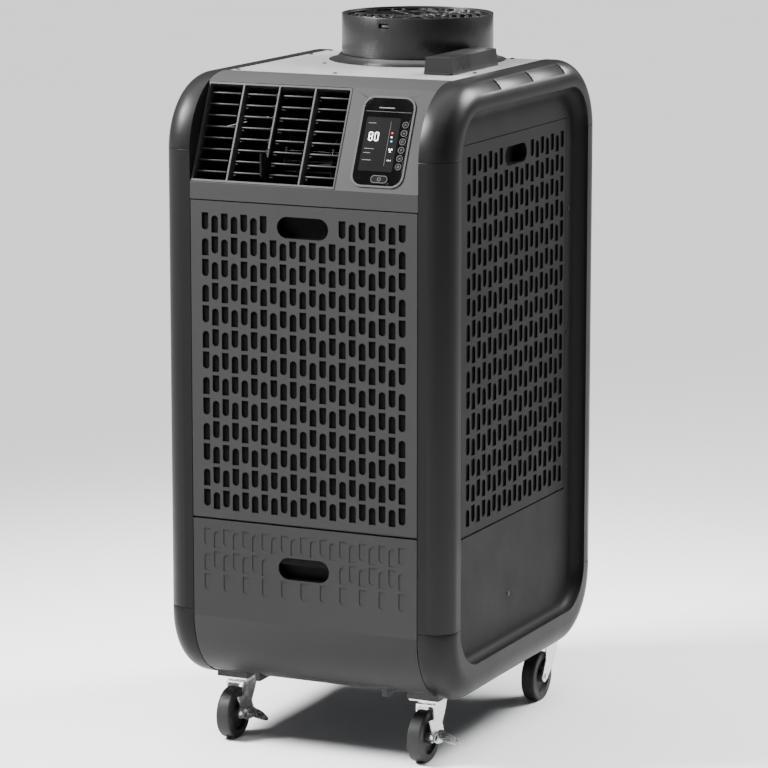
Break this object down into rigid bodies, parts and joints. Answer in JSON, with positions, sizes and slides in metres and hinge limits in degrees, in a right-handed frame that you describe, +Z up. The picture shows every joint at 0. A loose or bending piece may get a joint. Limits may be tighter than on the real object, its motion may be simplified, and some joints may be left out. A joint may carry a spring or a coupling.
{
  "type": "portable dehumidifying air conditioner",
  "caption": "Upright black cabinet on swivel casters with slotted filter doors, a sloping louvred outlet beside a control module, a pull-out tank drawer and a round duct collar on top.",
  "frame": {"origin": "on the floor, under the middle of the cabinet's box", "axes": "+Z up, +X to the right of a viewer who faces the front, front with outlet and controls towards -Y"},
  "size_m": [0.6, 0.7421, 1.397],
  "materials": {
    "ring_plastic": "fine grain",
    "panel_plastic": "fine grain",
    "front_plastic": "fine grain",
    "top_plate": "satin",
    "sheet_steel": "satin",
    "collar_plastic": "fine grain",
    "guard_plastic": "satin",
    "louvre_plastic": "satin",
    "blade_plastic": "satin",
    "black_plastic": "gloss",
    "display_glass": "gloss",
    "motor_paint": "semi-gloss",
    "coil_fins": "bare fins",
    "copper": "bright",
    "screw_steel": "blackened",
    "zinc": "bright zinc plate",
    "wheel_rubber": "satin",
    "filter_media": "open mesh",
    "tank_plastic": "satin",
    "button_plastic": "satin",
    "fan_plastic": "satin"
  },
  "bodies": {
    "cabinet": {"base_pan": "sheet_steel", "ring_posts": "ring_plastic", "upper_arches": "ring_plastic", "lower_arches": "ring_plastic", "side_panels": "panel_plastic", "front_bezel": "front_plastic", "top_panel": "top_plate", "rear_panel": "panel_plastic", "exhaust_collar": "collar_plastic", "duct_guard": "guard_plastic", "cable_cover": "collar_plastic", "louvre_frame": "louvre_plastic", "control_housing": "black_plastic", "control_glass": "display_glass", "mains_inlet": "black_plastic", "drain_port": "black_plastic", "compressor": "motor_paint", "evaporator_coil": "coil_fins", "condenser_coil": "coil_fins", "refrigerant_tubes": "copper", "fan_motors": "motor_paint", "bulkhead": "sheet_steel", "shell_screws": "screw_steel", "caster_plates": "zinc"},
    "front_filter": {"front_filter_door": "front_plastic", "front_filter_pad": "filter_media"},
    "left_filter": {"left_filter_door": "panel_plastic", "left_filter_pad": "filter_media"},
    "right_filter": {"right_filter_door": "panel_plastic", "right_filter_pad": "filter_media"},
    "drawer": {"drawer_front": "front_plastic", "condensate_tank": "tank_plastic"},
    "tie_bar": {"louvre_tie_bar": "blade_plastic"},
    "exhaust_fan": {"exhaust_fan": "fan_plastic"},
    "evaporator_blower": {"evaporator_blower": "fan_plastic"},
    "power_button": {"power_button": "button_plastic"},
    "blade_1": {"louvre_blade_1": "blade_plastic"},
    "blade_2": {"louvre_blade_2": "blade_plastic"},
    "blade_3": {"louvre_blade_3": "blade_plastic"},
    "blade_4": {"louvre_blade_4": "blade_plastic"},
    "blade_5": {"louvre_blade_5": "blade_plastic"},
    "blade_6": {"louvre_blade_6": "blade_plastic"},
    "blade_7": {"louvre_blade_7": "blade_plastic"},
    "blade_8": {"louvre_blade_8": "blade_plastic"},
    "button_1": {"button_1": "button_plastic"},
    "button_2": {"button_2": "button_plastic"},
    "button_3": {"button_3": "button_plastic"},
    "button_4": {"button_4": "button_plastic"},
    "button_5": {"button_5": "button_plastic"},
    "button_6": {"button_6": "button_plastic"},
    "front_left_caster": {"front_left_fork": "zinc"},
    "front_left_wheel": {"front_left_wheel": "wheel_rubber"},
    "front_left_brake": {"front_left_brake": "zinc"},
    "front_right_caster": {"front_right_fork": "zinc"},
    "front_right_wheel": {"front_right_wheel": "wheel_rubber"},
    "front_right_brake": {"front_right_brake": "zinc"},
    "rear_left_caster": {"rear_left_fork": "zinc"},
    "rear_left_wheel": {"rear_left_wheel": "wheel_rubber"},
    "rear_right_caster": {"rear_right_fork": "zinc"},
    "rear_right_wheel": {"rear_right_wheel": "wheel_rubber"}
  },
  "joints": [
    {"name": "front_filter_hinge", "type": "hinge", "parent": "cabinet", "child": "front_filter", "pos_m": [0, -0.366, 0.46475], "axis": [1, 0, 0], "range_deg": [0, 35]},
    {"name": "left_filter_hinge", "type": "hinge", "parent": "cabinet", "child": "left_filter", "pos_m": [-0.269, 0.0035, 0.44275], "axis": [0, -1, 0], "range_deg": [0, 30]},
    {"name": "right_filter_hinge", "type": "hinge", "parent": "cabinet", "child": "right_filter", "pos_m": [0.269, 0.0035, 0.44275], "axis": [0, 1, 0], "range_deg": [0, 30]},
    {"name": "drawer_slide", "type": "slide", "parent": "cabinet", "child": "drawer", "axis": [0, -1, 0], "range_m": [0, 0.19]},
    {"name": "blade_1_tilt", "type": "hinge", "parent": "cabinet", "child": "blade_1", "pos_m": [-0.085, -0.2693, 1.26232], "axis": [-1, 0, 0], "range_deg": [-10, 25]},
    {"name": "blade_2_tilt", "type": "hinge", "parent": "cabinet", "child": "blade_2", "pos_m": [-0.085, -0.27848, 1.24199], "axis": [-1, 0, 0], "range_deg": [-10, 25]},
    {"name": "blade_3_tilt", "type": "hinge", "parent": "cabinet", "child": "blade_3", "pos_m": [-0.085, -0.28766, 1.22167], "axis": [-1, 0, 0], "range_deg": [-10, 25]},
    {"name": "blade_4_tilt", "type": "hinge", "parent": "cabinet", "child": "blade_4", "pos_m": [-0.085, -0.29683, 1.20135], "axis": [-1, 0, 0], "range_deg": [-10, 25]},
    {"name": "blade_5_tilt", "type": "hinge", "parent": "cabinet", "child": "blade_5", "pos_m": [-0.085, -0.30601, 1.18102], "axis": [-1, 0, 0], "range_deg": [-10, 25]},
    {"name": "blade_6_tilt", "type": "hinge", "parent": "cabinet", "child": "blade_6", "pos_m": [-0.085, -0.31519, 1.1607], "axis": [-1, 0, 0], "range_deg": [-10, 25]},
    {"name": "blade_7_tilt", "type": "hinge", "parent": "cabinet", "child": "blade_7", "pos_m": [-0.085, -0.32437, 1.14037], "axis": [-1, 0, 0], "range_deg": [-10, 25]},
    {"name": "blade_8_tilt", "type": "hinge", "parent": "cabinet", "child": "blade_8", "pos_m": [-0.085, -0.33354, 1.12005], "axis": [-1, 0, 0], "range_deg": [-10, 25]},
    {"name": "tie_bar_hinge", "type": "hinge", "parent": "blade_1", "child": "tie_bar", "pos_m": [-0.093, -0.2848, 1.26931], "axis": [-1, 0, 0], "range_deg": [-25, 10]},
    {"name": "button_1_press", "type": "slide", "parent": "cabinet", "child": "button_1", "axis": [0, 0.9114, -0.4116], "range_m": [0, 0.001], "stiffness_N_per_m": 300},
    {"name": "button_2_press", "type": "slide", "parent": "cabinet", "child": "button_2", "axis": [0, 0.9114, -0.4116], "range_m": [0, 0.001], "stiffness_N_per_m": 300},
    {"name": "button_3_press", "type": "slide", "parent": "cabinet", "child": "button_3", "axis": [0, 0.9114, -0.4116], "range_m": [0, 0.001], "stiffness_N_per_m": 300},
    {"name": "button_4_press", "type": "slide", "parent": "cabinet", "child": "button_4", "axis": [0, 0.9114, -0.4116], "range_m": [0, 0.001], "stiffness_N_per_m": 300},
    {"name": "button_5_press", "type": "slide", "parent": "cabinet", "child": "button_5", "axis": [0, 0.9114, -0.4116], "range_m": [0, 0.001], "stiffness_N_per_m": 300},
    {"name": "button_6_press", "type": "slide", "parent": "cabinet", "child": "button_6", "axis": [0, 0.9114, -0.4116], "range_m": [0, 0.001], "stiffness_N_per_m": 300},
    {"name": "power_button_press", "type": "slide", "parent": "cabinet", "child": "power_button", "axis": [0, 0.9114, -0.4116], "range_m": [0, 0.001], "stiffness_N_per_m": 300},
    {"name": "exhaust_fan_spin", "type": "hinge", "parent": "cabinet", "child": "exhaust_fan", "pos_m": [0, 0.149, 1.24], "axis": [0, 0, 1], "continuous": true},
    {"name": "evaporator_blower_spin", "type": "hinge", "parent": "cabinet", "child": "evaporator_blower", "pos_m": [0, -0.15, 1.12], "axis": [1, 0, 0], "continuous": true},
    {"name": "front_left_swivel", "type": "hinge", "parent": "cabinet", "child": "front_left_caster", "pos_m": [-0.205, -0.237, 0.108], "axis": [0, 0, 1], "continuous": true},
    {"name": "front_left_roll", "type": "hinge", "parent": "front_left_caster", "child": "front_left_wheel", "pos_m": [-0.205, -0.269, 0.05], "axis": [1, 0, 0], "continuous": true},
    {"name": "front_left_brake_press", "type": "hinge", "parent": "front_left_caster", "child": "front_left_brake", "pos_m": [-0.1836, -0.2615, 0.067], "axis": [0, 1, 0], "range_deg": [0, 6]},
    {"name": "front_right_swivel", "type": "hinge", "parent": "cabinet", "child": "front_right_caster", "pos_m": [0.205, -0.237, 0.108], "axis": [0, 0, 1], "continuous": true},
    {"name": "front_right_roll", "type": "hinge", "parent": "front_right_caster", "child": "front_right_wheel", "pos_m": [0.205, -0.269, 0.05], "axis": [1, 0, 0], "continuous": true},
    {"name": "front_right_brake_press", "type": "hinge", "parent": "front_right_caster", "child": "front_right_brake", "pos_m": [0.2264, -0.2615, 0.067], "axis": [0, 1, 0], "range_deg": [0, 6]},
    {"name": "rear_left_swivel", "type": "hinge", "parent": "cabinet", "child": "rear_left_caster", "pos_m": [-0.228, 0.269, 0.108], "axis": [0, 0, 1], "continuous": true},
    {"name": "rear_left_roll", "type": "hinge", "parent": "rear_left_caster", "child": "rear_left_wheel", "pos_m": [-0.228, 0.237, 0.05], "axis": [1, 0, 0], "continuous": true},
    {"name": "rear_right_swivel", "type": "hinge", "parent": "cabinet", "child": "rear_right_caster", "pos_m": [0.228, 0.269, 0.108], "axis": [0, 0, 1], "continuous": true},
    {"name": "rear_right_roll", "type": "hinge", "parent": "rear_right_caster", "child": "rear_right_wheel", "pos_m": [0.228, 0.237, 0.05], "axis": [1, 0, 0], "continuous": true}
  ],
  "couplings": [
    {"joint": "blade_2_tilt", "follows": "blade_1_tilt", "ratio": 1},
    {"joint": "blade_3_tilt", "follows": "blade_1_tilt", "ratio": 1},
    {"joint": "blade_4_tilt", "follows": "blade_1_tilt", "ratio": 1},
    {"joint": "blade_5_tilt", "follows": "blade_1_tilt", "ratio": 1},
    {"joint": "blade_6_tilt", "follows": "blade_1_tilt", "ratio": 1},
    {"joint": "blade_7_tilt", "follows": "blade_1_tilt", "ratio": 1},
    {"joint": "blade_8_tilt", "follows": "blade_1_tilt", "ratio": 1},
    {"joint": "tie_bar_hinge", "follows": "blade_1_tilt", "ratio": -1}
  ]
}
